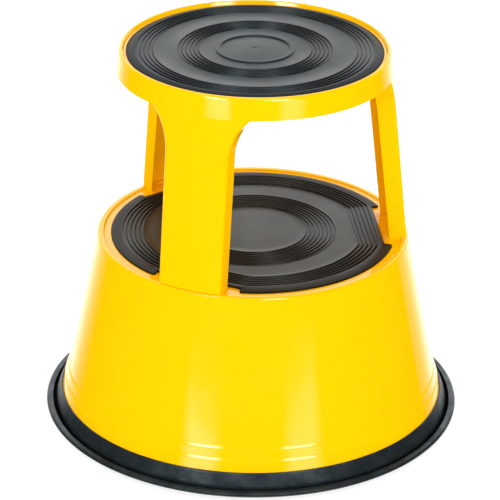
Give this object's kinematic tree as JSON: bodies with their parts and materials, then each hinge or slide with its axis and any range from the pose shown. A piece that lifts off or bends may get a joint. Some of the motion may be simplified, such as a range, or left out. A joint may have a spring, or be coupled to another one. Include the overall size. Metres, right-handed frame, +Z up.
{
  "type": "kick step stool",
  "caption": "Round kick step stool: ribbed top tread on channel legs over a conical base with a lower tread, bumper ring and spring-loaded casters.",
  "frame": {"origin": "on the floor under the stool's axis; the casters touch z = 0 and the bumper ring hangs 5 mm above it", "axes": "+Z up along the stool's axis, leg 1 toward -Y, legs at 120 degrees"},
  "size_m": [0.4476, 0.4476, 0.4148],
  "materials": {
    "yellow_powder_coat": "gloss powder coat on pressed steel",
    "black_mat_rubber": "ribbed moulded rubber",
    "bumper_rubber": "smooth moulded rubber",
    "zinc_steel": "bright zinc plate",
    "black_painted_steel": "satin black paint",
    "spring_steel": "oiled spring steel",
    "turned_steel": "turned steel",
    "nylon": "natural nylon",
    "caster_rubber": "grey-black caster tread"
  },
  "bodies": {
    "stool_body": {"upper_frame": "yellow_powder_coat", "lower_shell": "yellow_powder_coat", "top_tread_mat": "black_mat_rubber", "lower_tread_mat": "black_mat_rubber", "base_bumper": "bumper_rubber", "leg_weld_studs": "zinc_steel", "leg_washers": "zinc_steel", "leg_nuts": "zinc_steel", "caster_frame": "black_painted_steel", "caster_housing_1": "black_painted_steel", "caster_guide_washer_1": "nylon", "caster_snap_ring_1": "spring_steel", "caster_spring_1": "spring_steel", "caster_housing_2": "black_painted_steel", "caster_guide_washer_2": "nylon", "caster_snap_ring_2": "spring_steel", "caster_spring_2": "spring_steel", "caster_housing_3": "black_painted_steel", "caster_guide_washer_3": "nylon", "caster_snap_ring_3": "spring_steel", "caster_spring_3": "spring_steel"},
    "caster_1_plunger": {"caster_plunger_1": "turned_steel"},
    "caster_1_swivel_fork": {"caster_swivel_washer_1": "nylon", "caster_stem_1": "turned_steel", "caster_fork_1": "zinc_steel", "caster_axle_1": "turned_steel"},
    "caster_1_wheel": {"caster_wheel_hub_1": "nylon", "caster_tyre_1": "caster_rubber"},
    "caster_2_plunger": {"caster_plunger_2": "turned_steel"},
    "caster_2_swivel_fork": {"caster_swivel_washer_2": "nylon", "caster_stem_2": "turned_steel", "caster_fork_2": "zinc_steel", "caster_axle_2": "turned_steel"},
    "caster_2_wheel": {"caster_wheel_hub_2": "nylon", "caster_tyre_2": "caster_rubber"},
    "caster_3_plunger": {"caster_plunger_3": "turned_steel"},
    "caster_3_swivel_fork": {"caster_swivel_washer_3": "nylon", "caster_stem_3": "turned_steel", "caster_fork_3": "zinc_steel", "caster_axle_3": "turned_steel"},
    "caster_3_wheel": {"caster_wheel_hub_3": "nylon", "caster_tyre_3": "caster_rubber"}
  },
  "joints": [
    {"name": "caster_1_retract", "type": "slide", "parent": "stool_body", "child": "caster_1_plunger", "axis": [0, 0, 1], "range_m": [0, 0.008], "stiffness_N_per_m": 5900, "springref_m": -0.01, "deforming": ["caster_spring_1"]},
    {"name": "caster_1_swivel", "type": "hinge", "parent": "caster_1_plunger", "child": "caster_1_swivel_fork", "pos_m": [0, -0.15, 0.0456], "axis": [0, 0, 1], "continuous": true},
    {"name": "caster_1_roll", "type": "hinge", "parent": "caster_1_swivel_fork", "child": "caster_1_wheel", "pos_m": [0.016, -0.15, 0.019], "axis": [0, 1, 0], "continuous": true},
    {"name": "caster_2_retract", "type": "slide", "parent": "stool_body", "child": "caster_2_plunger", "axis": [0, 0, 1], "range_m": [0, 0.008], "stiffness_N_per_m": 5900, "springref_m": -0.01, "deforming": ["caster_spring_2"]},
    {"name": "caster_2_swivel", "type": "hinge", "parent": "caster_2_plunger", "child": "caster_2_swivel_fork", "pos_m": [0.1299, 0.075, 0.0456], "axis": [0, 0, 1], "continuous": true},
    {"name": "caster_2_roll", "type": "hinge", "parent": "caster_2_swivel_fork", "child": "caster_2_wheel", "pos_m": [0.1219, 0.08886, 0.019], "axis": [-0.866, -0.5, 0], "continuous": true},
    {"name": "caster_3_retract", "type": "slide", "parent": "stool_body", "child": "caster_3_plunger", "axis": [0, 0, 1], "range_m": [0, 0.008], "stiffness_N_per_m": 5900, "springref_m": -0.01, "deforming": ["caster_spring_3"]},
    {"name": "caster_3_swivel", "type": "hinge", "parent": "caster_3_plunger", "child": "caster_3_swivel_fork", "pos_m": [-0.1299, 0.075, 0.0456], "axis": [0, 0, 1], "continuous": true},
    {"name": "caster_3_roll", "type": "hinge", "parent": "caster_3_swivel_fork", "child": "caster_3_wheel", "pos_m": [-0.1379, 0.06114, 0.019], "axis": [0.866, -0.5, 0], "continuous": true}
  ]
}
